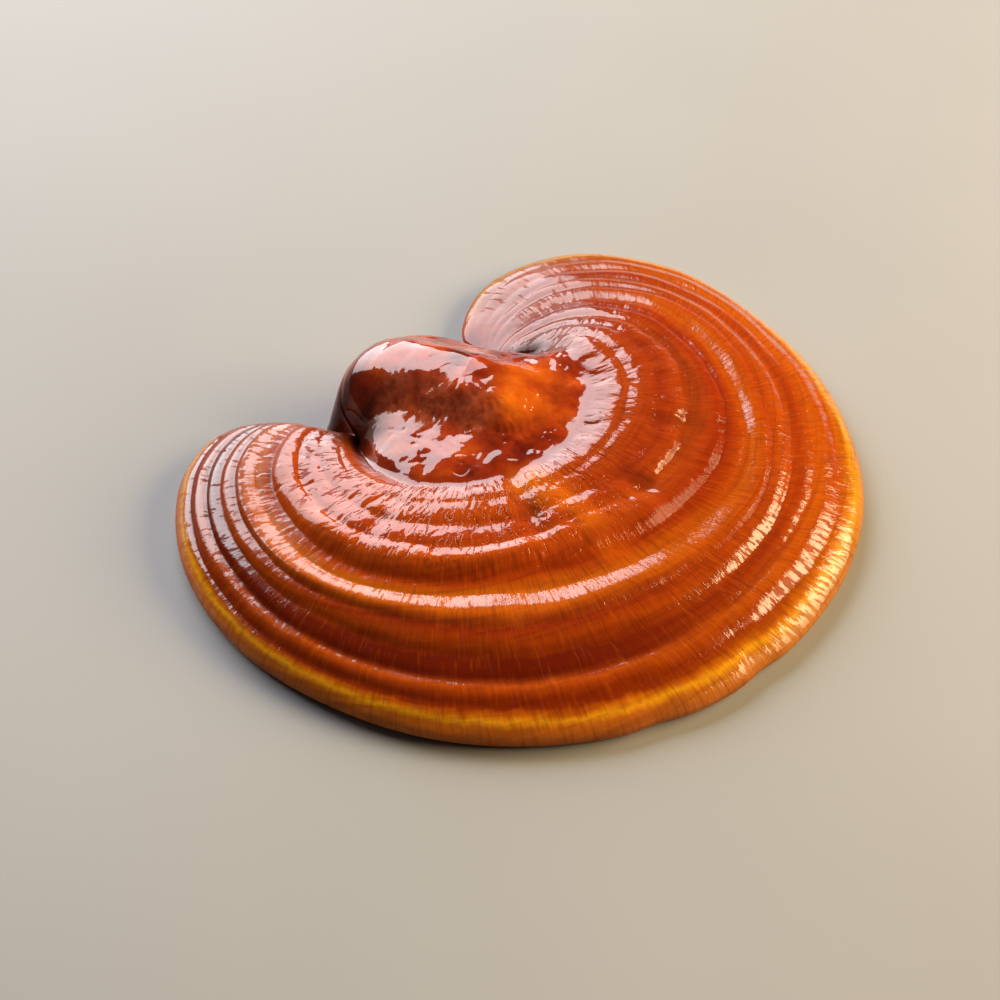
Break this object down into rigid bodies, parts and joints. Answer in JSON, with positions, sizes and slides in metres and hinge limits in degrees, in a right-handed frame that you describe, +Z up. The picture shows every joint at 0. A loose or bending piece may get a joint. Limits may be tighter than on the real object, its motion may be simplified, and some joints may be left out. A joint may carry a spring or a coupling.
{
  "type": "reishi mushroom",
  "caption": "Kidney-shaped bracket mushroom with a lacquered, ringed cap and the stub of its stem in the notch, cut flat below to rest on a surface.",
  "frame": {"origin": "centre of the bounding box at the level of the surface it rests on", "axes": "+X across the two lobes, +Y towards the stem's notch, +Z up from the flat cut of the stem"},
  "size_m": [0.1238, 0.1054, 0.0211],
  "materials": {
    "lacquered_flesh": "glossy red-brown natural lacquer with dark and golden growth rings, a golden margin and a matte tan pore surface below"
  },
  "bodies": {
    "root": {"mushroom": "lacquered_flesh"}
  },
  "joints": []
}
